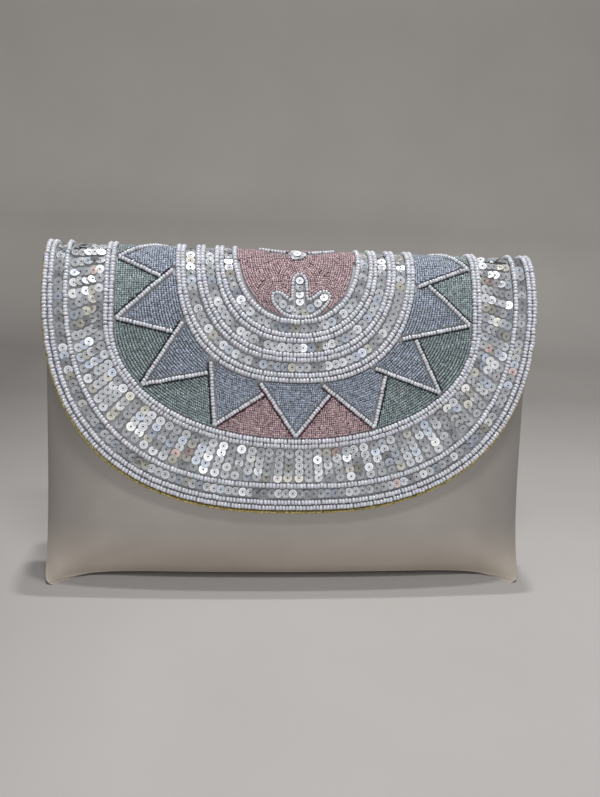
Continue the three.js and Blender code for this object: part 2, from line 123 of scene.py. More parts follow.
# Beads: width, length along the thread, pitch, and room beside other beads
PEARL = 2.62
PEARL_LENGTH = 1.72
PEARL_PITCH = 1.72
LINE_PEARL = 2.1
LINE_PEARL_LENGTH = 1.6
SMALL_PEARL = 1.8
SMALL_PEARL_LENGTH = 0.85 * PEARL_LENGTH
SMALL_PEARL_PITCH = 0.85 * SMALL_PEARL
PEARL_SIDES = 8
SEED = 1.3
SEED_LENGTH = 1.1
SEED_PITCH = 1.06
SEED_ROW = 1.13
SEED_SIDES = 6
LINE_CLEAR = 0.52 * (LINE_PEARL + SEED)
ECHO_SLACK = 0.1 * SEED
EDGE_ROOM = 0.4 * SEED
STITCH_DRAW = 0.045
HEADING_STEP = 0.2

# Chance differences between beads, as spreads
HEADING_SPREAD = 0.06
LIFT_SPREAD = 0.04
WIDTH_SPREAD = 0.03
LENGTH_SPREAD = 0.05
HUE_SPREAD = 0.02

# Sequins: flat discs with a hole and a pressed ring, whose steps are shares of the radius
SEQUIN = 4.8
SEQUIN_HOLE = 0.95
SEQUIN_SIDES = 14
SEQUIN_THICK = 0.1
SEQUIN_PRESSED = 0.05
SEQUIN_STEPS = (0.42, 0.52, 0.92)
SEQUIN_TILT = math.radians(6)
SEQUIN_TILT_SPREAD = 0.14
SEQUIN_SIZE_SPREAD = 0.02
SEQUIN_TONE_SPREAD = 0.22
SEQUIN_SHIFT = 0.12
RING_SEQUIN_PITCH = 3.6
BORDER_TONE = 0.8

# Painted shade on a sequin's faces from its hole outwards, then on its underside and its hole: darker in
# the pressed ring, at the rim and inside
SEQUIN_PAINTED_SHADES = (0.95, 0.7, 1.0, 0.55, 0.8, 0.5)

# Radial bars of sequins: whole bars are painted lighter or darker, a painted flash or dimness of sequins
# that share a tilt, and a few overlap inwards
BAR_PITCH = 5.0
BAR_SEQUINS = 5
BAR_END = 0.92
BAR_SHIFT = 0.25
BAR_PAINTED_LIGHT = (0.84, 1.0, 1.3)
BAR_SHARES = (0.45, 0.38, 0.17)
BAR_REVERSED = 0.2

# Sequins are painted darker round the shoulder below the fold, a painted shade that tones down the lamps'
# highlights there: by how much, where and how far
FOLD_PAINTED_SHADE = 0.4
FOLD_SHADE_AT, FOLD_SHADE_REACH = 9.0, 13.0

# Heights of beads and sequins over the flap's cloth
PEARL_LIFT = GAP + PEARL / 2
LINE_LIFT = GAP + LINE_PEARL / 2 + 0.15
SMALL_PEARL_LIFT = GAP + 1.2
SEED_LIFT = GAP + SEED / 2
SEQUIN_LIFT = GAP + 0.55
MOTIF_LIFT = SEQUIN_LIFT + 0.4
ROSETTE_TOP_LIFT = MOTIF_LIFT + 0.5
SHADOW_LIFT = GAP + 1.1

# Thread: near-black knots in the sequins' holes that also stand for the shade inside them, dark stitches
# beside the petals' lines that also stand for their shadow, and the seam behind
THREAD_SIDES = 6
THREAD_TONE_SPREAD = 0.3
THREAD_HUE_SPREAD = 0.05
KNOT = 0.62 * SEQUIN_HOLE
KNOT_FORM = ((0.18, 0.04), (0.15, 0.7 * KNOT), (0, KNOT))
SHADOW_FORM = ((-0.95, 0.05), (-0.8, 0.42), (0.8, 0.42), (0.95, 0.05))
SHADOW_PITCH = 2.3
SHADOW_WIDTH = 0.75
SHADOW_LIFT_SPREAD = 0.1
SHADOW_SIZE_SPREAD = 0.08
BACK_STITCH_FORM = ((-1.5, 0.05), (-1.3, 0.3), (1.3, 0.3), (1.5, 0.05))
BACK_STITCH_PITCH = 4.0
BACK_STITCH_END = 4.0
BACK_STITCH_EDGE = 3.0
BACK_STITCH_LIFT = 0.15
BACK_STITCH_SPREAD = 0.04

# Gold cord: two strands wound round each other along the flap's edge
CORD_INSET = 0.15
CORD_DROP = 1.2
CORD_STEP = 0.42
CORD_TWIST = 2.6
CORD_RADIUS = 0.38
STRAND_RADIUS = 0.45
STRAND_SIDES = 6

# Pouch: the side seam leans back and flicks forward into the lower corners.
POUCH_HALF = 124.8
CORNER_PRESSED = 16.0
SEAM_HALF = 1.6
HOLLOW_SEAM_HALF = 0.4
SEAM_FOOT = -4.5
SEAM_LEAN = 0.085
CORNER_FLICK = 15.0
CORNER_REACH = 22.0
FULL_POWER, FULL_RISE = 5.0, 0.6
CORNER_POWER, CORNER_RISE = 9.0, 1.3
CORNER_ROUND = 5.0
POUCH_CLEARANCE = 0.5

# The pouch's front lies behind the flap at these distances down it
FRONT_RUN = (33, 45, 61, 81, 103, 123, 139.5)

# The pouch's lower section: depth, height, height on the side seam, side (-1 front, 1 back)
LOWER_RUN = (
    (-23.5, 28, 28, -1), (-20.4, 17, 14, -1), (-15.2, 8.4, 5, -1), (-10.0, 2.2, 1.5, -1),
    (-9.2, 1.4, 1.1, -0.9), (-4, 0.25, 0.2, -0.6), (0, 0, 0, -0.2), (9, 0, 0, 0.5),
    (12.6, 2.6, 1.4, 0.9), (14.4, 8.4, 5, 1), (15.2, 17, 14, 1), (15.9, 29, 28, 1),
)

# The pouch's back above it: depth and height
BACK_RUN = ((16.9, 44), (18.1, 63), (19.5, 85), (20.6, 106), (21.3, 126), (21.5, 140), (22.6, 151))

# Soft creases of the pouch: side, from and to across and up, depth, half width
CREASES = (
    (-1, (-117, 12), (-84, 40), 0.9, 5.0), (-1, (-116, 30), (-96, 62), 0.7, 6.0),
    (-1, (-108, 8), (-70, 22), 0.6, 5.0), (-1, (117, 12), (88, 38), 0.8, 5.0),
    (-1, (115, 34), (98, 66), 0.6, 6.0), (1, (-116, 14), (-80, 48), 1.0, 6.0),
    (1, (116, 14), (82, 46), 1.0, 6.0), (1, (-112, 60), (-78, 84), 0.7, 8.0),
    (1, (112, 66), (76, 88), 0.7, 8.0), (1, (-40, 30), (44, 36), 0.6, 9.0),
)


def unit(vectors):
    return vectors / np.linalg.norm(vectors, axis=-1, keepdims=True)


def walked(points):
    """The distance walked along a run of points, at each of them."""
    return np.concatenate([[0], np.cumsum(np.linalg.norm(np.diff(points, axis=0), axis=1))])


def joined(rows):
    """The places, headings and the like of several rows as those of one row."""
    return [np.concatenate(values) for values in zip(*rows)]


def smoothstep(x, low, high):
    t = np.clip((x - low) / (high - low), 0, 1)
    return t * t * (3 - 2 * t)


def along_arc(place, radius, length):
    y, z, heading = place
    turned = heading + length / radius
    return (
        y + radius * (np.sin(turned) - np.sin(heading)),
        z - radius * (np.cos(turned) - np.cos(heading)),
        turned,
    )


def profile(s):
    """The flap's outer face in profile, at distances down the front or, below 0, behind the fold."""
    top = (FOLD_Y, HEIGHT, math.pi)
    fold = along_arc(top, FOLD_RADIUS, np.clip(s, -BACK_ARC, FOLD_ARC))
    shoulder = along_arc(fold, SHOULDER_RADIUS, np.clip(s - FOLD_ARC, 0, SHOULDER_ARC))
    y, z, heading = along_arc(shoulder, BELLY_RADIUS, np.maximum(s - FOLD_ARC - SHOULDER_ARC, 0))
    beyond = np.minimum(s + BACK_ARC, 0)
    return y + beyond * np.cos(heading), z + beyond * np.sin(heading), heading


def on_flap(places, lift=0.0):
    """Points raised from the flap's face at places across and down it, and the directions there."""
    u, s = places[..., 0], places[..., 1]
    y, z, heading = profile(s)
    fade = smoothstep(s, -BACK_ARC, FOLD_ARC)
    bow = fade * FLAP_BOW * (u / FLAP_HALF) ** 2
    slope = fade * 2 * FLAP_BOW * u / FLAP_HALF ** 2
    none = np.zeros_like(u)
    across = unit(np.stack([none + 1, slope, none], -1))
    along = np.stack([none, np.cos(heading), np.sin(heading)], -1)
    normal = unit(np.cross(along, across))
    points = np.stack([u, y + bow, z], -1) + normal * (none + lift)[..., None]
    return points, across, along, normal


class Line:
    """A line along the flap's edge, from behind the fold round the foot to behind the fold."""

    SAMPLES = 400
    STEP = 1e-3

    def __init__(self, half, depth, back=BEAD_BACK):
        self.half = half
        self.straight = np.interp(half, FORM_HALF, FORM_STRAIGHT)
        self.rounding = depth - self.straight
        self.power = np.interp(half, FORM_HALF, FORM_POWER)
        angle = np.linspace(0, math.pi / 2, self.SAMPLES)
        u = half * np.sin(angle) ** (2 / self.power)
        s = self.straight + self.rounding * np.clip(np.cos(angle), 0, 1) ** (2 / self.power)
        self.right = np.concatenate([np.stack([u, s], 1), [(half, -back)]])
        self.walk = walked(self.right)
        self.top = np.interp(0, self.right[::-1, 1], self.walk[::-1])

    def falling(self, share):
        """How much of one half axis of the rounded foot is left at a share of the other."""
        return (1 - np.clip(share, 0, 1) ** self.power) ** (1 / self.power)

    def width_at(self, s):
        return self.half * self.falling((s - self.straight) / self.rounding)

    def depth_at(self, u):
        return self.straight + self.rounding * self.falling(np.abs(u) / self.half)

    def at_turn(self, turn):
        """Places at turns: 0 at the foot, 1 and -1 where the line crosses the fold's top line."""
        walk = np.abs(turn) * self.top
        u = np.interp(walk, self.walk, self.right[:, 0]) * np.sign(turn)
        return np.stack([u, np.interp(walk, self.walk, self.right[:, 1])], -1)

    def turns(self, pitch):
        """Turns of places spaced by about the pitch, from the left end to the right one."""
        reach = self.walk[-1] / self.top
        count = int(round(2 * self.walk[-1] / pitch))
        return ((np.arange(count) + 0.5) / count * 2 - 1) * reach

    def heading(self, turn):
        return unit(self.at_turn(turn + self.STEP) - self.at_turn(turn - self.STEP))

    def row(self, pitch):
        """Places and headings of a row of beads, drawn into short groups by its stitches."""
        turns = self.turns(pitch)
        turns = turns + drawn_together(len(turns)) * pitch / self.top
        return self.at_turn(turns), self.heading(turns)


def drawn_together(count):
    """Shifts along a thread, in pitches, that draw beads into groups of 3 to 6."""
    sizes = rng.integers(3, 7, count)
    ends = np.cumsum(sizes)
    order = np.arange(count)
    group = np.searchsorted(ends, order, side="right")
    middle = ends[group] - (sizes[group] + 1) / 2
    return (middle - order) * STITCH_DRAW


def lay_out_rings():
    """Each ring's outer and inner sizes, laid out from the flap's edge inwards."""
    rings = {}
    half, depth = FLAP_HALF - GAP, FLAP_DEPTH - GAP
    for name, side, foot in RINGS:
        rings[name] = (half, depth, half - side, depth - foot)
        half, depth = half - side - GAP, depth - foot - GAP
    rings["centre_field"] = (half, depth, 0.0, depth - half)
    return rings


rings = lay_out_rings()


def ring_line(name, inward):
    """The line in a ring at a share of its width from its outer edge."""
    half, depth, inner_half, inner_depth = rings[name]
    return Line(half + (inner_half - half) * inward, depth + (inner_depth - depth) * inward)


def along_run(points, pitch):
    """Places and headings spaced by about the pitch along a run of points."""
    points = np.asarray(points, float)
    walk = walked(points)
    count = max(int(round(walk[-1] / pitch)), 1)
    at = (np.arange(count) + 0.5 + drawn_together(count)) / count * walk[-1]

    def at_walk(distance):
        return np.stack([np.interp(distance, walk, points[:, k]) for k in (0, 1)], -1)

    step = HEADING_STEP * pitch
    return at_walk(at), unit(at_walk(at + step) - at_walk(at - step))


def rounded(points, closed=False):
    """A run of points with its corners cut again and again."""
    points = np.asarray(points, float)
    near, far = 0.75, 0.25
    for _ in range(CORNER_CUTS):
        start = points if closed else points[:-1]
        end = np.roll(points, -1, axis=0) if closed else points[1:]
        cut = np.stack([near * start + far * end, far * start + near * end], 1).reshape(-1, 2)
        points = cut if closed else np.concatenate([points[:1], cut, points[-1:]])
    return np.concatenate([points, points[:1]]) if closed else points


def distance_to_run(places, points):
    """Distance of each place from the nearest stretch of a run of points."""
    points = np.asarray(points, float)
    start, step = points[:-1], np.diff(points, axis=0)
    offset = places[:, None, :] - start[None]
    share = np.clip((offset * step).sum(-1) / (step * step).sum(-1), 0, 1)
    return np.linalg.norm(offset - share[..., None] * step, axis=-1).min(1)


def inside_run(places, points):
    """Whether each place lies inside a closed run of points."""
    points = np.asarray(points, float)
    a, b = points[:-1], points[1:]
    u, s = places[:, None, 0], places[:, None, 1]
    spans = (a[:, 1] > s) != (b[:, 1] > s)
    rise = np.where(b[:, 1] == a[:, 1], 1, b[:, 1] - a[:, 1])
    crossing = a[:, 0] + (s - a[:, 1]) / rise * (b[:, 0] - a[:, 0])
    return (spans & (u < crossing)).sum(1) % 2 == 1


# Meshes

def add_object(name, data):
    made = bpy.data.objects.new(name, data)
    bpy.context.collection.objects.link(made)
    return made


def mesh_object(name, points, faces, looks, smooth=True):
    """A mesh object from points in millimetres and four-sided faces."""
    mesh = bpy.data.meshes.new(name)
    mesh.vertices.add(len(points))
    mesh.vertices.foreach_set("co", (points * MM).astype(np.float32).ravel())
    mesh.loops.add(faces.size)
    mesh.loops.foreach_set("vertex_index", faces.astype(np.int32).ravel())
    mesh.polygons.add(len(faces))
    mesh.polygons.foreach_set("loop_start", np.arange(0, faces.size, faces.shape[1], dtype=np.int32))
    mesh.polygons.foreach_set("use_smooth", np.full(len(faces), smooth))
    for look in looks:
        mesh.materials.append(look)
    mesh.update(calc_edges=True)
    return add_object(name, mesh)


def make_piece(name, points, faces, looks, nodes=None, tints=None, look_index=None, smooth=True):
    """A piece of the clutch, whose faces may each have a tint or a look of their own."""
    piece = mesh_object(name, points, faces, looks, smooth)
    if look_index is not None:
        piece.data.polygons.foreach_set("material_index", look_index.astype(np.int32))
    if tints is not None:
        layer = piece.data.attributes.new("tint", "FLOAT_COLOR", "FACE")
        colours = np.column_stack([tints, np.ones(len(tints))]).astype(np.float32)
        layer.data.foreach_set("color", colours.ravel())
    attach(piece, "root")
    if nodes is not None:
        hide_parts(*nodes)
    return piece


def grid_faces(rows, columns, closed=False):
    """Four-sided faces of a grid of points, whose rows may be closed loops."""
    i, j = np.meshgrid(np.arange(rows - 1), np.arange(columns if closed else columns - 1), indexing="ij")
    here, beside = (i * columns + j).ravel(), (i * columns + (j + 1) % columns).ravel()
    return np.stack([here, beside, beside + columns, here + columns], 1)


def turned_form(outline, sides):
    """A closed form turned round the X axis, from places along it and distances from it."""
    angle = 2 * math.pi * np.arange(sides) / sides
    points = [(x, r * math.cos(a), r * math.sin(a)) for x, r in outline for a in angle]
    faces = grid_faces(len(outline) + 1, sides, closed=True) % len(points)
    return np.array(points), faces


def facing_z(form):
    """A turned form set upright, with its axis along Z."""
    points, faces = form
    return points[:, [1, 2, 0]], faces


def bead_form(width, length, form, sides):
    """A bead: a short rounded tube along X, whose form gives shares of its half length and radius."""
    return turned_form([(x * length / 2, r * width / 2) for x, r in form], sides)


def sequin_form():
    """A flat sequin facing Z, with a small hole and a faint ring pressed into it."""
    rim, hole = SEQUIN / 2, SEQUIN_HOLE / 2
    inner, outer, bevel = (share * rim for share in SEQUIN_STEPS)
    top = [(SEQUIN_THICK, hole), (SEQUIN_THICK, inner), (SEQUIN_PRESSED, outer), (SEQUIN_PRESSED, bevel)]
    return facing_z(turned_form([*top, (0, rim), (0, hole)], SEQUIN_SIDES))


def copies(form, places, frames, scales):
    """Copies of a form at places, with its axes along the rows of each frame."""
    points, faces = form
    moved = np.einsum("npk,nkj->npj", points[None] * scales[:, None, :], frames) + places[:, None, :]
    first = np.arange(len(places))[:, None, None] * len(points)
    return moved.reshape(-1, 3), (faces[None] + first).reshape(-1, faces.shape[1])


def bead_frames(places, headings, lift):
    """Points on the flap and frames whose X runs along the thread and whose Z stands off the flap."""
    points, across, along, normal = on_flap(places, lift)
    thread = unit(across * headings[:, :1] + along * headings[:, 1:])
    return points, np.stack([thread, unit(np.cross(normal, thread)), normal], 1)


def tilted(frames, forward, sideways):
    """Frames tilted about their Y axis by forward and about their X axis by sideways."""
    x, y, z = frames.transpose(1, 0, 2)
    normal = unit(z + np.tan(forward)[:, None] * x + np.tan(sideways)[:, None] * y)
    side = unit(np.cross(normal, x))
    return np.stack([np.cross(side, normal), side, normal], 1)


def varied(count, colour, tone_spread, hue_spread):
    """A number of tints round a colour, lighter or darker and a little off in hue."""
    tone = np.exp(rng.normal(0, tone_spread, (count, 1)))
    return np.clip(np.array(colour) * tone * np.exp(rng.normal(0, hue_spread, (count, 3))), 0, 1)


def add_beads(name, form, rows, lift, colour, look, slot, nodes, spread=0.07, sway=0.1):
    """One piece of many beads from rows of places and headings."""
    places, headings = joined(rows)
    count = len(places)
    sides = np.stack([-headings[:, 1], headings[:, 0]], -1)
    places = places + sides * rng.normal(0, sway, (count, 1))
    headings = unit(headings + sides * rng.normal(0, HEADING_SPREAD, (count, 1)))
    points, frames = bead_frames(places, headings, lift + rng.normal(0, LIFT_SPREAD, count))
    width = rng.normal(1, WIDTH_SPREAD, count)
    scales = np.stack([rng.normal(1, LENGTH_SPREAD, count), width, width], -1)
    verts, faces = copies(form, points, frames, scales)
    tints = np.repeat(varied(count, colour, spread, HUE_SPREAD), len(form[1]), axis=0)
    return make_piece(name, verts, faces, [look], nodes, tints)


def add_thread(name, form, points, frames, scales, tints):
    """One piece of knots or stitches of thread."""
    verts, faces = copies(form, points, frames, scales)
    tints = np.repeat(tints, len(form[1]), axis=0)
    return make_piece(name, verts, faces, [thread_look], tints=tints)


# Materials

WHITE = (1, 1, 1)

# Leatherette: painted shade above a painted lighter, warmer lower edge that stands for light bounced up
# from the floor, and painted shade towards the side seams, with stretches in metres
PAINTED_UPPER_SHADE = (0.715, 0.75, 0.812)
PAINTED_BOUNCE_STRETCH = (0.006, 0.032)
PAINTED_SIDE_SHADE = (0.78, 0.78, 0.78)
PAINTED_SIDE_STRETCH = (0.096, 0.124)

# Studio paper: two tones, then painted shade far back, at the left where the clutch's shadow falls, and up
# the wall, with stretches
PAPER_TONES = ((0.412, 0.397, 0.388), (0.437, 0.422, 0.412))
FAR_SHADE = (0.62, 0.615, 0.605)
FAR_STRETCH = (0.03, 0.4)
LEFT_SHADE = (0.69, 0.685, 0.68)
LEFT_STRETCH = (-0.27, -0.07)
WALL_SHADES = ((0.94, 0.93, 0.895), (0.74, 0.73, 0.705))
WALL_STRETCH = (0.16, 0.43)
CURVE_STRETCH = (0.0, 0.17)

# Colours of the beads and sequins, and how common each sequin's colour is
PEARL_COLOUR = (0.7, 0.71, 0.775)
BLUE = (0.365, 0.41, 0.5)
GREEN = (0.295, 0.36, 0.375)
ROSE = (0.49, 0.35, 0.376)
ROSE_GAP = (0.52, 0.37, 0.395)
# The fourth sequin colour, near white, is a painted glint
SEQUIN_COLOURS = (
    (0.555, 0.572, 0.608), (0.61, 0.595, 0.53), (0.51, 0.555, 0.65), (0.86, 0.87, 0.9), (0.7, 0.53, 0.5),
)
SEQUIN_COLOUR_SHARES = (0.73, 0.08, 0.11, 0.07, 0.01)
# Near-black knot thread, partly a painted shade for the sequins' holes
KNOT_COLOUR = (0.05, 0.05, 0.05)
# Stitch colours: dark thread that also stands for the shadow beside the petals' lines
ROSE_SHADOW = (0.1, 0.015, 0.03)
GREEN_SHADOW = (0.012, 0.02, 0.022)
BACK_STITCH_COLOUR = (0.2, 0.18, 0.15)


class Look:
    """A material with its shader's own values set by name, and the nodes that feed it."""

    def __init__(self, name, roughness, **sockets):
        self.material = bpy.data.materials.new(name)
        self.material.use_nodes = True
        self.nodes = self.material.node_tree.nodes
        self.links = self.material.node_tree.links
        self.shader = self.nodes["Principled BSDF"]
        self.shader.inputs["Roughness"].default_value = roughness
        for socket, value in sockets.items():
            self.shader.inputs[socket.replace("_", " ")].default_value = value

    def feed(self, socket, source):
        self.links.new(source, self.shader.inputs[socket])

    def node(self, kind, settings=None, **inputs):
        """A node with settings, whose inputs are values or other nodes' outputs."""
        made = self.nodes.new("ShaderNode" + kind)
        for setting, value in (settings or {}).items():
            setattr(made, setting, value)
        for name, value in inputs.items():
            socket = made.inputs[name.replace("_", " ")]
            if isinstance(value, bpy.types.NodeSocket):
                self.links.new(value, socket)
            else:
                socket.default_value = value
        return made

    def place(self):
        return self.node("TexCoord").outputs["Object"]

    def noise(self, scale, detail=3.0):
        """Noise in the piece's own coordinates, with features of about a metre over the scale."""
        return self.node("TexNoise", Vector=self.place(), Scale=scale, Detail=detail).outputs["Fac"]

    def ramp(self, source, low, high, start=0.3, end=0.7):
        """A colour from low to high over a stretch of a source's values."""
        made = self.node("ValToRGB", Fac=source)
        for element, position, colour in zip(made.color_ramp.elements, (start, end), (low, high)):
            element.position = position
            element.color = (*colour, 1)
        return made.outputs["Color"]

    def axis_share(self, axis, start, end):
        """The share of the way along an axis of the piece, between two places in metres."""
        split = self.node("SeparateXYZ", Vector=self.place())
        share = self.node("MapRange", Value=split.outputs[axis], From_Min=start, From_Max=end)
        return share.outputs["Result"]

    def axis_ramp(self, axis, low, high, start, end):
        """A colour from low to high between two places along an axis of the piece."""
        return self.ramp(self.axis_share(axis, start, end), low, high, 0, 1)

    def mixed(self, first, second, kind="MULTIPLY", share=1):
        """Two colours joined by a kind of blending, in full or by a share."""
        settings = {"data_type": "RGBA", "blend_type": kind}
        return self.node("Mix", settings, Factor=share, A=first, B=second).outputs["Result"]

    def bump(self, source, strength, distance):
        made = self.node("Bump", Strength=strength, Distance=distance, Height=source)
        self.feed("Normal", made.outputs["Normal"])

    def vary_roughness(self, source, low, high):
        made = self.node("MapRange", Value=source, To_Min=low, To_Max=high)
        self.feed("Roughness", made.outputs["Result"])


def tinted_look(name, roughness, mottle, mottle_scale, **sockets):
    """A look whose colour is each bead's own tint, mottled a little."""
    look = Look(name, roughness, **sockets)
    tint = look.node("Attribute", {"attribute_name": "tint"}).outputs["Color"]
    mottled = look.noise(mottle_scale)
    look.feed("Base Color", look.mixed(tint, look.ramp(mottled, (1 - mottle,) * 3, WHITE)))
    look.vary_roughness(mottled, 0.7 * roughness, 1.3 * roughness)
    return look.material


def leather_look(name, dark, light):
    """Satin leatherette: pebble grain, rubbed patches, a painted lighter, warmer lower edge for
    floor-bounced light with painted shade above it, and painted shade towards the side seams.
    """
    look = Look(name, roughness=0.42, Specular_IOR_Level=0.45)
    patches = look.noise(scale=26, detail=4)
    colour = look.ramp(patches, dark, light, start=0.25, end=0.75)
    # Painted light: lighter and warmer low down for light bounced off the floor, painted shade higher up
    # under the flap
    colour = look.mixed(colour, look.axis_ramp("Z", WHITE, PAINTED_UPPER_SHADE, *PAINTED_BOUNCE_STRETCH))
    # Painted shade towards each side seam, against the brighter light that the corners catch there
    for side in (-1, 1):
        start, end = (side * place for place in PAINTED_SIDE_STRETCH)
        colour = look.mixed(colour, look.axis_ramp("X", WHITE, PAINTED_SIDE_SHADE, start, end))
    look.feed("Base Color", colour)
    look.vary_roughness(patches, low=0.36, high=0.5)
    look.bump(look.noise(scale=2200, detail=2), strength=0.22, distance=0.00012)
    return look.material


def cloth_look(name, dark, light):
    """Plain woven backing: crossed threads in the colour and the relief."""
    look = Look(name, roughness=0.75, Sheen_Weight=0.25)
    weave = look.node("Math", {"operation": "MULTIPLY"})
    for direction, socket in zip(("X", "Z"), weave.inputs):
        threads = {"bands_direction": direction}
        wave = look.node("TexWave", threads, Vector=look.place(), Scale=480, Distortion=0.6)
        look.links.new(wave.outputs["Fac"], socket)
    woven = weave.outputs["Value"]
    look.feed("Base Color", look.ramp(woven, dark, light, start=0.0, end=0.8))
    look.bump(woven, strength=0.4, distance=0.0003)
    return look.material


def cord_look(name, dark, light):
    """Metallic thread wound into a cord, brighter on some turns than on others."""
    look = Look(name, roughness=0.4, Metallic=0.5)
    turns = look.noise(scale=900, detail=2)
    look.feed("Base Color", look.ramp(turns, dark, light))
    look.bump(turns, strength=0.3, distance=0.0002)
    return look.material


def paper_look():
    """Pale matt studio paper with faint marks: a floor with painted shade far back and to the left, and a
    wall painted darker upwards.
    """
    look = Look("studio_paper", roughness=0.8, Specular_IOR_Level=0.25)
    paper = look.ramp(look.noise(scale=9, detail=6), *PAPER_TONES)
    # Painted shade: darker far back and up the wall, and at the left for the clutch's shadow
    far = look.axis_ramp("Y", WHITE, FAR_SHADE, *FAR_STRETCH)
    left = look.axis_ramp("X", LEFT_SHADE, WHITE, *LEFT_STRETCH)
    wall = look.axis_ramp("Z", *WALL_SHADES, *WALL_STRETCH)
    rising = look.axis_share("Z", *CURVE_STRETCH)
    shade = look.mixed(look.mixed(far, left), wall, "MIX", rising)
    look.feed("Base Color", look.mixed(paper, shade))
    return look.material


pearl_look = tinted_look(
    "pearl_glass", roughness=0.28, mottle=0.12, mottle_scale=700, Coat_Weight=0.6, Coat_Roughness=0.08,
)
seed_look = tinted_look(
    "lustred_glass", roughness=0.34, mottle=0.2, mottle_scale=900,
    Metallic=0.1, Coat_Weight=0.4, Coat_Roughness=0.2,
)
sequin_look = tinted_look(
    "sequin_foil", roughness=0.34, mottle=0.1, mottle_scale=500,
    Metallic=0.3, Coat_Weight=0.3, Coat_Roughness=0.2,
)
thread_look = tinted_look("dark_thread", roughness=0.8, mottle=0.3, mottle_scale=1500)
leather = leather_look("taupe_leatherette", dark=(0.457, 0.395, 0.334), light=(0.525, 0.457, 0.388))
lining = leather_look("leatherette_lining", dark=(0.2, 0.18, 0.155), light=(0.235, 0.21, 0.18))
backing = cloth_look("grey_backing", dark=(0.38, 0.385, 0.4), light=(0.58, 0.585, 0.6))
gold = cord_look("gold_thread", dark=(0.2, 0.15, 0.045), light=(0.8, 0.67, 0.24))

# Forms of the beads, sequins and knots
ROUND_FORM = ((-1, 0.42), (-0.86, 0.76), (-0.4, 0.98), (0.4, 0.98), (0.86, 0.76), (1, 0.42))
SHORT_FORM = ((-1, 0.7), (-0.6, 1), (0.6, 1), (1, 0.7))
pearl = bead_form(PEARL, PEARL_LENGTH, ROUND_FORM, PEARL_SIDES)
line_pearl = bead_form(LINE_PEARL, LINE_PEARL_LENGTH, ROUND_FORM, PEARL_SIDES)
small_pearl = bead_form(SMALL_PEARL, SMALL_PEARL_LENGTH, ROUND_FORM, PEARL_SIDES)
seed = bead_form(SEED, SEED_LENGTH, SHORT_FORM, SEED_SIDES)
sequin = sequin_form()
knot = facing_z(turned_form(KNOT_FORM, THREAD_SIDES))


# Pouch

def spline(values, share):
    """Values at shares along a smooth curve through a list of rows."""
    values = np.asarray(values, float)
    ends = np.concatenate([[2 * values[0] - values[1]], values, [2 * values[-1] - values[-2]]])
    at = share * (len(values) - 1)
    i = np.minimum(at.astype(int), len(values) - 2)
    t = (at - i)[:, None]
    a, b, c, d = ends[i], ends[i + 1], ends[i + 2], ends[i + 3]
    slope, curve, twist = c - a, 2 * a - 5 * b + 4 * c - d, 3 * b - 3 * c + d - a
    return 0.5 * (2 * b + slope * t + curve * t ** 2 + twist * t ** 3)


def pouch_section():
    """The pouch's middle section, from the front's top edge round the bottom to the back's."""
    places = np.array([(0.0, s) for s in FRONT_RUN])
    front = on_flap(places, -CLOTH - POUCH_CLEARANCE)[0]
    back = [(y, z, z, 1) for y, z in BACK_RUN]
    return np.array([*((y, z, z, -1) for _, y, z in front), *LOWER_RUN, *back], float)


def inner_section(section):
    """The section moved inwards by the wall, with its lower corners pressed solid."""
    along = unit(np.gradient(section[:, :2], axis=0))
    inner = section.copy()
    inner[:, 0] -= along[:, 1] * CLOTH
    inner[:, 1] += along[:, 0] * CLOTH
    inner[:, 2] += CORNER_PRESSED * np.exp(-section[:, 2] / CORNER_PRESSED)
    return inner


def pouch_grid(section, half_width, seam_half, stations):
    """Points of the pouch's skin, a section at each station across it, filling from the side seams."""
    share = np.sin(np.linspace(-math.pi / 2, math.pi / 2, stations))[:, None]
    y, z, seam_z, side = section.T
    corner = np.exp(-seam_z / CORNER_REACH)
    power = FULL_POWER + (CORNER_POWER - FULL_POWER) * corner
    rise = FULL_RISE + (CORNER_RISE - FULL_RISE) * corner
    fill = (1 - np.abs(share) ** power) ** rise
    low = np.clip(1 - seam_z / CORNER_ROUND, 0, 1)
    reach = half_width - CORNER_ROUND * (1 - np.sqrt(1 - low ** 2))
    bow = FLAP_BOW * (share * half_width / FLAP_HALF) ** 2 * np.maximum(-side, 0)
    seam = SEAM_FOOT + SEAM_LEAN * seam_z - CORNER_FLICK * corner + side * seam_half
    return np.stack([
        share * reach,
        seam + (y + bow - seam) * fill,
        np.maximum(seam_z + (z - seam_z) * fill, 0),
    ], -1)


def creased(grid, side):
    """The skin with its soft creases pressed into it."""
    along = np.gradient(grid, axis=1)
    across = np.gradient(grid, axis=0)
    tiny = 1e-9
    outward = unit(np.cross(across, along) + tiny)
    flat = grid[..., [0, 2]].reshape(-1, 2)
    pressed = np.zeros(grid.shape[:2])
    for face, start, end, depth, width in CREASES:
        middle = (np.array(start) + np.array(end)) / 2
        reach = np.linalg.norm(np.subtract(end, start)) / 2
        near = np.exp(-(distance_to_run(flat, [start, end]) / width) ** 2)
        fading = np.exp(-(np.linalg.norm(flat - middle, axis=1) / reach) ** 4)
        pressed += depth * (near * fading).reshape(pressed.shape) * (side * face > 0.5)
    return grid + outward * pressed[..., None]


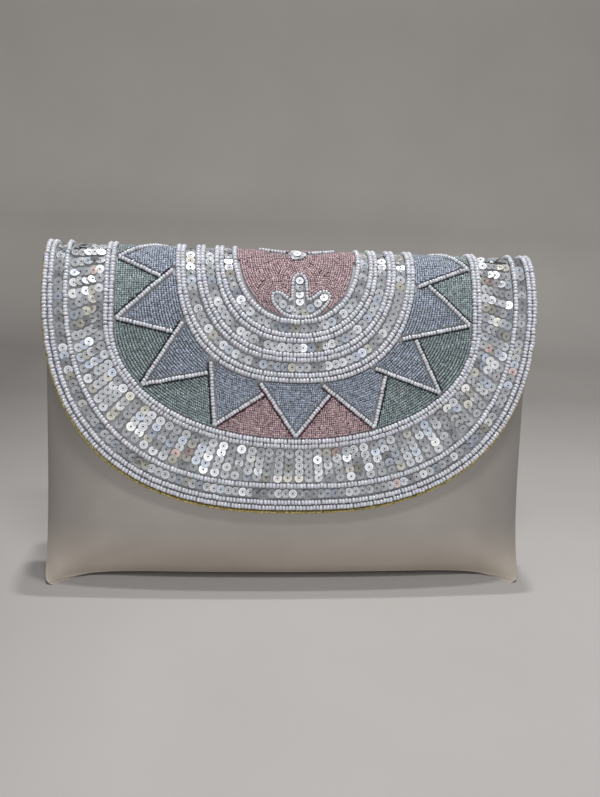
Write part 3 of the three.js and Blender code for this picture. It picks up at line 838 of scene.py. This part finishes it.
def make_pouch():
    """The pouch: an outer and an inner skin, joined at the mouth."""
    stations, rows = 121, 104
    section = spline(pouch_section(), np.linspace(0, 1, rows))
    outer = creased(pouch_grid(section, POUCH_HALF, SEAM_HALF, stations), section[:, 3])
    inner = pouch_grid(inner_section(section), POUCH_HALF - 2 * CLOTH, HOLLOW_SEAM_HALF, stations)
    count = stations * rows
    skin = grid_faces(stations, rows)
    index = np.arange(count).reshape(stations, rows)
    edges = []
    for row in (0, -1):
        here, there = index[:-1, row], index[1:, row]
        edges.append(np.stack([here, there, there + count, here + count], 1))
    for station in (0, -1):
        front, back = index[station, : rows // 2], index[station, ::-1][: rows // 2]
        edges.append(np.stack([front[:-1], front[1:], back[1:], back[:-1]], 1))
        edges.append(np.array([[front[0], back[0], back[0] + count, front[0] + count]]))
    faces = np.concatenate([skin, skin[:, ::-1] + count, *edges])
    points = np.concatenate([outer.reshape(-1, 3), inner.reshape(-1, 3)])
    inside = np.zeros(len(faces), int)
    inside[len(skin): 2 * len(skin)] = 1
    make_piece("pouch_leather", points, faces, [leather, lining], ["pouch"], look_index=inside)


# Flap cloth and its edging

def make_flap():
    """The flap's cloth: grey backing outside, leatherette inside."""
    columns, fold_rows, front_rows = 97, 36, 60
    edge = Line(FLAP_HALF, FLAP_DEPTH, FLAP_BACK)
    u = FLAP_HALF * np.sin(np.linspace(-math.pi / 2, math.pi / 2, columns))
    fold = np.linspace(-FLAP_BACK, FOLD_ARC, fold_rows)
    front = np.linspace(0, 1, front_rows)[1:]
    lower = FOLD_ARC + (edge.depth_at(u)[:, None] - FOLD_ARC) * front
    s = np.concatenate([np.broadcast_to(fold, (len(u), len(fold))), lower], 1)
    places = np.stack([np.broadcast_to(u[:, None], s.shape), s], -1)
    rows = s.shape[1]
    outer = on_flap(places)[0].reshape(-1, 3)
    inner = on_flap(places, -CLOTH)[0].reshape(-1, 3)
    count = len(outer)
    skin = grid_faces(columns, rows)
    index = np.arange(count).reshape(columns, rows)
    loop = np.concatenate([index[:, 0], index[-1, 1:], index[-2::-1, -1], index[0, -2:0:-1]])
    after = np.roll(loop, -1)
    rim = np.stack([loop, after, after + count, loop + count], 1)
    faces = np.concatenate([skin[:, ::-1], skin + count, rim])
    inside = np.zeros(len(faces), int)
    inside[len(skin):] = 1
    points = np.concatenate([outer, inner])
    looks = [backing, leather]
    return make_piece("flap_cloth", points, faces, looks, ["flap"], look_index=inside)


def strand(path, side, normal, start_angle):
    """Points of one strand of the cord wound round a path, a loop of points at each step."""
    angle = start_angle + 2 * math.pi * walked(path) / CORD_TWIST
    middle = path + CORD_RADIUS * (np.cos(angle)[:, None] * side + np.sin(angle)[:, None] * normal)
    ahead = unit(np.gradient(middle, axis=0))
    over = unit(np.cross(ahead, side))
    beside = np.cross(over, ahead)
    turn = 2 * math.pi * np.arange(STRAND_SIDES) / STRAND_SIDES
    spread = np.cos(turn)[None, :, None] * beside[:, None] + np.sin(turn)[None, :, None] * over[:, None]
    return middle[:, None] + STRAND_RADIUS * spread


def make_edging():
    """Gold cord of two twisted strands along the flap's edge."""
    line = Line(FLAP_HALF - CORD_INSET, FLAP_DEPTH + CORD_DROP, FLAP_BACK)
    turns = line.turns(CORD_STEP)
    path, frames = bead_frames(line.at_turn(turns), line.heading(turns), -CLOTH / 4)
    points, faces = [], []
    for start in (0, math.pi):
        tube = strand(path, frames[:, 1], frames[:, 2], start)
        faces.append(grid_faces(len(tube), STRAND_SIDES, closed=True) + sum(map(len, points)))
        points.append(tube.reshape(-1, 3))
    points, faces = np.concatenate(points), np.concatenate(faces)
    return make_piece("gold_cord", points, faces, [gold], ["flap_edging"])


# Beadwork

def pearl_rows(*names):
    """Rows of pearls in rings: one along the middle of a narrow ring, two in a wide one."""
    shares = {name: (0.5,) if name in SINGLE_ROWS else (PAIR_INSET, 1 - PAIR_INSET) for name in names}
    return [ring_line(name, share).row(PEARL_PITCH) for name in names for share in shares[name]]


def petal_corners():
    """The zigzag's tips on the petal ring's outer edge and its roots on the inner edge."""
    half, depth, inner_half, inner_depth = rings["petal_ring"]
    tips = Line(half - PETAL_INSET, depth - PETAL_INSET).at_turn(np.array(PETAL_TIPS))
    roots = Line(inner_half + PETAL_INSET, inner_depth + PETAL_INSET).at_turn(np.array(PETAL_ROOTS))
    return tips, roots


def petal_strokes():
    """The zigzag's bead lines: long ones from root to tip, and short ones that meet them."""
    tips, roots = petal_corners()
    long_strokes, short_strokes = [], []
    for i, root in enumerate(roots):
        junction = root + JUNCTION * (tips[i + 1] - root)
        aside = junction + JUNCTION_ASIDE * (tips[i] - junction)
        long_strokes.append((root, tips[i + 1]))
        short_strokes.append((tips[i], aside))
    return long_strokes, short_strokes


def gap_of(places):
    """The number of the gap between petals that each place lies in, or -1 inside a petal."""
    tips, roots = petal_corners()
    found = np.full(len(places), -1)
    for i, root in enumerate(roots):
        apex = root + JUNCTION * (tips[i + 1] - root)
        left, right, offset = tips[i] - apex, tips[i + 1] - apex, places - apex
        area = left[0] * right[1] - left[1] * right[0]
        a = (offset[:, 0] * right[1] - offset[:, 1] * right[0]) / area
        b = (left[0] * offset[:, 1] - left[1] * offset[:, 0]) / area
        found[(a > 0) & (b > 0)] = i
    return found


def petal_ring_rows():
    """Places and headings of the fill beads of the petal ring, clear of the zigzag."""
    half, _, inner_half, _ = rings["petal_ring"]
    count = int(round((half - inner_half) / SEED_ROW))
    rows = [ring_line("petal_ring", (k + 0.5) / count).row(SEED_PITCH) for k in range(count)]
    places, headings = joined(rows)
    strokes = [stroke for group in petal_strokes() for stroke in group]
    apart = np.min([distance_to_run(places, stroke) for stroke in strokes], axis=0)
    clear = apart > LINE_CLEAR
    return places[clear], headings[clear]


def echo_row(outline, away):
    """A row of fill beads at a distance round a closed outline that runs clockwise."""
    ahead = unit(np.roll(outline[:-1], -1, axis=0) - np.roll(outline[:-1], 1, axis=0))
    offset = outline[:-1] + away * np.stack([ahead[:, 1], -ahead[:, 0]], -1)
    places, headings = along_run(np.concatenate([offset, offset[:1]]), SEED_PITCH)
    kept = distance_to_run(places, outline) > away - ECHO_SLACK
    return places[kept], headings[kept]


def centre_rows(outline):
    """The rose beads in the middle: rows round the motif, then rows along the ring."""
    half, depth, _, _ = rings["centre_field"]
    edge = Line(half, depth)
    around = 0.5 * (SMALL_PEARL + SEED)
    echoes = [echo_row(outline, around + SEED_ROW * k) for k in range(ECHO_ROWS)]
    count = round(half / SEED_ROW)
    insets = half * (np.arange(count) + 0.5) / count
    rows = [Line(half - inset, depth - inset).row(SEED_PITCH) for inset in insets]
    beyond = around + SEED_ROW * (ECHO_ROWS - 0.5)
    clear = [~inside_run(at, outline) & (distance_to_run(at, outline) > beyond) for at, _ in rows]
    rows = echoes + [(at[free], way[free]) for (at, way), free in zip(rows, clear)]
    places, headings = joined(rows)
    free = np.abs(places[:, 0]) < edge.width_at(places[:, 1] + SEED / 2) - EDGE_ROOM
    free &= np.linalg.norm(places - ROSETTE, axis=1) > ROSETTE_RADIUS
    for spray in SPRAYS:
        free &= distance_to_run(places, spray) > around
    return places[free], headings[free]


def sequin_tints(count):
    """A tint for each sequin: mostly silver, some warm, some cool, a few pink, and a few painted bright
    for glints; the spread of tone is partly painted glint.
    """
    kind = rng.choice(len(SEQUIN_COLOURS), count, p=SEQUIN_COLOUR_SHARES)
    tone = np.exp(rng.normal(0, SEQUIN_TONE_SPREAD, (count, 1)))
    return np.clip(np.array(SEQUIN_COLOURS)[kind] * tone, 0, 1)


def add_sequins(name, nodes, places, headings, tone=1.0, lift=SEQUIN_LIFT, scale=1.0):
    """One piece of sequins, each tilted onto the one before it, and one piece of their knots."""
    count = len(places)
    points, frames = bead_frames(places, headings, lift)
    forward = rng.normal(-SEQUIN_TILT, SEQUIN_TILT_SPREAD, count)
    sideways = rng.normal(0, SEQUIN_TILT_SPREAD, count)
    frames = tilted(frames, forward, sideways)
    scales = np.full((count, 3), scale) * rng.normal(1, SEQUIN_SIZE_SPREAD, (count, 1))
    verts, faces = copies(sequin, points, frames, scales)
    # Painted shade round the shoulder below the fold, against the lamps' highlights there
    fold_shaded = 1 - FOLD_PAINTED_SHADE * np.exp(-((places[:, 1] - FOLD_SHADE_AT) / FOLD_SHADE_REACH) ** 2)
    colours = sequin_tints(count) * (tone * fold_shaded)[:, None]
    # Painted shade on each sequin's pressed ring, rim, underside and hole
    painted_shades = np.tile(np.repeat(SEQUIN_PAINTED_SHADES, SEQUIN_SIDES), count)[:, None]
    tints = np.clip(np.repeat(colours, len(sequin[1]), axis=0) * painted_shades, 0, 1)
    piece = make_piece(name, verts, faces, [sequin_look], nodes, tints, smooth=False)
    knot_tints = varied(count, KNOT_COLOUR, THREAD_TONE_SPREAD, THREAD_HUE_SPREAD)
    return [piece, add_thread(name + "_threads", knot, points, frames, scales, knot_tints)]


def ring_sequins(name):
    """Places of a ring's sequins and their headings, up from the foot on both sides."""
    line = ring_line(name, 0.5)
    turns = line.turns(RING_SEQUIN_PITCH)
    places = line.at_turn(turns + rng.normal(0, SEQUIN_SHIFT, len(turns)) / line.top)
    return places, line.heading(turns) * np.where(turns < 0, -1, 1)[:, None]


def bar_sequins():
    """Places, headings and painted-light tones of the bars' sequins, from the ring's inner edge to its
    outer one.
    """
    outer, middle, inner = (ring_line("sequin_bars", share) for share in (0.0, 0.5, 1.0))
    turns = middle.turns(BAR_PITCH)
    turns = turns + rng.normal(0, BAR_SHIFT, len(turns)) / middle.top
    end, start = outer.at_turn(turns), inner.at_turn(turns)
    way = unit(end - start)
    inset = way * BAR_END * SEQUIN / 2
    first, last = start + inset, end - inset
    places = np.linspace(first, last, BAR_SEQUINS, axis=1)
    places = places + rng.normal(0, SEQUIN_SHIFT, places.shape)
    reverse = rng.random(len(turns)) < BAR_REVERSED
    # Painted light: each bar is painted brighter or dimmer as a whole, for the flash of sequins that share
    # a tilt
    tones = np.repeat(rng.choice(BAR_PAINTED_LIGHT, len(turns), p=BAR_SHARES), BAR_SEQUINS)
    headings = np.repeat(np.where(reverse[:, None], -way, way), BAR_SEQUINS, axis=0)
    return places.reshape(-1, 2), headings, tones


def motif_sequins():
    """Places, headings, tones and lifts of the motif's and the rosette's sequins, the top one last."""
    angle = 2 * math.pi * np.arange(ROSETTE_PETALS) / ROSETTE_PETALS
    spokes = np.stack([np.cos(angle), np.sin(angle)], -1)
    places = np.concatenate([MOTIF_SEQUINS, np.add(ROSETTE, ROSETTE_SPOKE * spokes), [ROSETTE]])
    headings = np.concatenate([np.tile((0.0, 1.0), (len(MOTIF_SEQUINS), 1)), spokes, [(1.0, 0.0)]])
    lift = np.full(len(places), MOTIF_LIFT)
    lift[-1] = ROSETTE_TOP_LIFT
    tones = np.where(np.arange(len(places)) < len(MOTIF_SEQUINS), MOTIF_TONE, ROSETTE_TONE)
    return places, headings, tones, lift


def shadow_stitches():
    """Short dark stitches beside the petals' bead lines, on the gaps' side, that also stand for the shadow
    of the raised lines.
    """
    rows = []
    for strokes in petal_strokes():
        for i, stroke in enumerate(strokes):
            at, way = along_run(stroke, SHADOW_PITCH)
            aside = np.stack([-way[:, 1], way[:, 0]], -1) * 0.5 * (LINE_PEARL + SHADOW_WIDTH)
            colour = ROSE_SHADOW if i in ROSE_GAPS else GREEN_SHADOW
            tints = varied(len(at), colour, THREAD_TONE_SPREAD, THREAD_HUE_SPREAD)
            rows.append((at + aside, way, tints))
    places, headings, tints = joined(rows)
    count = len(places)
    lift = SHADOW_LIFT + rng.normal(0, SHADOW_LIFT_SPREAD, count)
    points, frames = bead_frames(places, headings, lift)
    scales = rng.normal(1, SHADOW_SIZE_SPREAD, (count, 3))
    form = turned_form(SHADOW_FORM, THREAD_SIDES)
    return add_thread("shadow_stitches", form, points, frames, scales, tints)


def back_stitches():
    """The row of stitches that holds the flap to the pouch's back."""
    side, down = FLAP_HALF - BACK_STITCH_END, BACK_STITCH_EDGE - FLAP_BACK
    at, way = along_run([(-side, down), (side, down)], BACK_STITCH_PITCH)
    points, frames = bead_frames(at, way, BACK_STITCH_LIFT)
    scales = rng.normal(1, BACK_STITCH_SPREAD, (len(at), 3))
    tints = varied(len(at), BACK_STITCH_COLOUR, tone_spread=0.1, hue_spread=0.02)
    form = turned_form(BACK_STITCH_FORM, THREAD_SIDES)
    return add_thread("back_stitches", form, points, frames, scales, tints)


def make_pearls(outline):
    """The white bead rows: in the rings, along the petals, and round the motif with its sprays."""
    made = []

    def add(name, form, rows, lift, nodes, **options):
        made.append(add_beads(name, form, rows, lift, PEARL_COLOUR, pearl_look, "pearl", nodes, **options))

    border = ("border_beads", "border_row")
    add("border_pearls", pearl, pearl_rows(*border), PEARL_LIFT, border)
    add("petal_pearls", pearl, pearl_rows("petal_border"), PEARL_LIFT, ("petal_border",))
    lines = [along_run(stroke, LINE_PEARL_LENGTH) for group in petal_strokes() for stroke in group]
    add("petal_line_pearls", line_pearl, lines, LINE_LIFT, ("petal_outline",))
    centre = [f"centre_beads_{k}" for k in range(1, 5)]
    add("centre_pearls", pearl, pearl_rows(*centre), PEARL_LIFT, centre)
    motif = [along_run(run, SMALL_PEARL_PITCH) for run in (outline, *map(rounded, SPRAYS))]
    add("motif_pearls", small_pearl, motif, SMALL_PEARL_LIFT, (), sway=0.05)
    return made


def make_fields(outline):
    """The fields of small beads: blue petals, green and rose gaps, and the rose middle."""
    seeds = dict(form=seed, lift=SEED_LIFT, look=seed_look, spread=0.2, sway=0.08)
    places, headings = petal_ring_rows()
    gaps = gap_of(places)
    rose = np.isin(gaps, ROSE_GAPS)
    green_gaps = [k for k in range(len(PETAL_ROOTS)) if k not in ROSE_GAPS]
    fields = (
        ("blue_beads", gaps < 0, BLUE, "blue", [f"petal_{k}" for k in range(len(PETAL_TIPS))]),
        ("green_beads", (gaps >= 0) & ~rose, GREEN, "green", [f"gap_{k}" for k in green_gaps]),
        ("rose_gap_beads", rose, ROSE_GAP, "rose", [f"gap_{k}" for k in ROSE_GAPS]),
    )
    made = []
    for name, chosen, colour, slot, nodes in fields:
        rows = [(places[chosen], headings[chosen])]
        made.append(add_beads(name, rows=rows, colour=colour, slot=slot, nodes=nodes, **seeds))
    middle = dict(rows=[centre_rows(outline)], colour=ROSE, slot="rose", nodes=["centre_field"])
    made.append(add_beads("rose_centre_beads", **middle, **seeds))
    return made


def make_sequins():
    """The sequin rings, the radial bars, and the sequins of the motif and the rosette."""
    border = ring_sequins("border_sequins")
    made = add_sequins("border_ring_sequins", ["border_sequins"], *border, BORDER_TONE)
    made += add_sequins("bar_sequins", ["sequin_bars"], *bar_sequins())
    centre = [f"centre_sequins_{k}" for k in range(1, 4)]
    made += add_sequins("centre_ring_sequins", centre, *joined(map(ring_sequins, centre)))
    motif = ["motif_left", "motif_middle", "motif_right", "fold_rosette"]
    made += add_sequins("motif_sequins", motif, *motif_sequins(), scale=MOTIF_SCALE)
    return made


make_pouch()
flap = make_flap()
edging = make_edging()
motif_outline = rounded(MOTIF_OUTLINE, closed=True)
beadwork = make_pearls(motif_outline) + make_fields(motif_outline) + make_sequins()
beadwork += [shadow_stitches(), back_stitches()]


# Stage and lights: each light's place, target and size in metres, power in watts, and colour
WARM = (1, 0.99, 0.97)
LIGHTS = (
    ("overhead", (0.06, -0.02, 2.2), (0.06, 0, 0), (0.1, 0.09), 13.5, WARM),
    ("overhead_back", (0.06, 0.3, 2.2), (0.06, 0, 0), (0.1, 0.045), 17, WARM),
    ("high_front", (0.02, -0.45, 1.0), (0.02, 0, 0.05), (0.3, 0.08), 3.7, WHITE),
    ("low_front", (0.2, -2.4, 0.12), (0, 0, 0.05), (2.4, 0.18), 17, WHITE),
)
WORLD_COLOUR = (0.95, 0.98, 1.0, 1)
WORLD_STRENGTH = 0.21


def make_stage():
    """A pale floor that curves up into a wall far behind the clutch."""
    front, corner, radius, top, half = -1600.0, 620.0, 160.0, 1500.0, 1800.0
    curve_points = 17
    angle = np.linspace(0, math.pi / 2, curve_points)
    y = np.concatenate([[front], corner + radius * np.sin(angle), [corner + radius]])
    z = np.concatenate([[0], radius * (1 - np.cos(angle)), [top]])
    points = np.concatenate([np.stack([np.full_like(y, x), y, z], -1) for x in (-half, half)])
    faces = grid_faces(2, len(y))[:, ::-1]
    floor = mesh_object("studio_floor", points, faces, [paper_look()])


def add_light(name, place, target, size, power, colour):
    light = bpy.data.lights.new(name, "AREA")
    light.shape = "RECTANGLE"
    light.size, light.size_y = size
    light.energy = power
    light.color = colour
    lamp = add_object(name, light)
    lamp.location = place
    lamp.rotation_mode = "QUATERNION"
    lamp.rotation_quaternion = (Vector(target) - Vector(place)).to_track_quat("-Z", "Y")


def add_world():
    world = bpy.data.worlds.new("studio")
    world.use_nodes = True
    sky = world.node_tree.nodes["Background"]
    sky.inputs["Color"].default_value = WORLD_COLOUR
    sky.inputs["Strength"].default_value = WORLD_STRENGTH
    bpy.context.scene.world = world


# Camera: its turn round the clutch, height, roll and distance follow the photo's perspective.
IMAGE_HEIGHT = 797
FOCAL_PIXELS = 800
CAMERA_TURN = math.radians(-5.62)
CAMERA_RISE = math.radians(14.0)
CAMERA_ROLL = math.radians(2.37)
CAMERA_TARGET = Vector((4.07, -2.3, 96.07)) * MM
CAMERA_DISTANCE = 415.4 * MM


def add_camera():
    camera = bpy.data.cameras.new("camera")
    camera.sensor_width = 36
    camera.lens = camera.sensor_width * FOCAL_PIXELS / IMAGE_HEIGHT
    camera.clip_start = 0.01
    camera.clip_end = 20
    turned = Matrix.Rotation(CAMERA_TURN, 4, "Z") @ Matrix.Rotation(math.pi / 2 - CAMERA_RISE, 4, "X")
    rolled = turned @ Matrix.Rotation(CAMERA_ROLL, 4, "Z")
    away = Matrix.Translation((0, 0, CAMERA_DISTANCE))
    holder = add_object("camera", camera)
    holder.matrix_world = Matrix.Translation(CAMERA_TARGET) @ rolled @ away
    bpy.context.scene.camera = holder


make_stage()
for light in LIGHTS:
    add_light(*light)
add_world()
add_camera()
bpy.context.scene.view_settings.view_transform = "Standard"
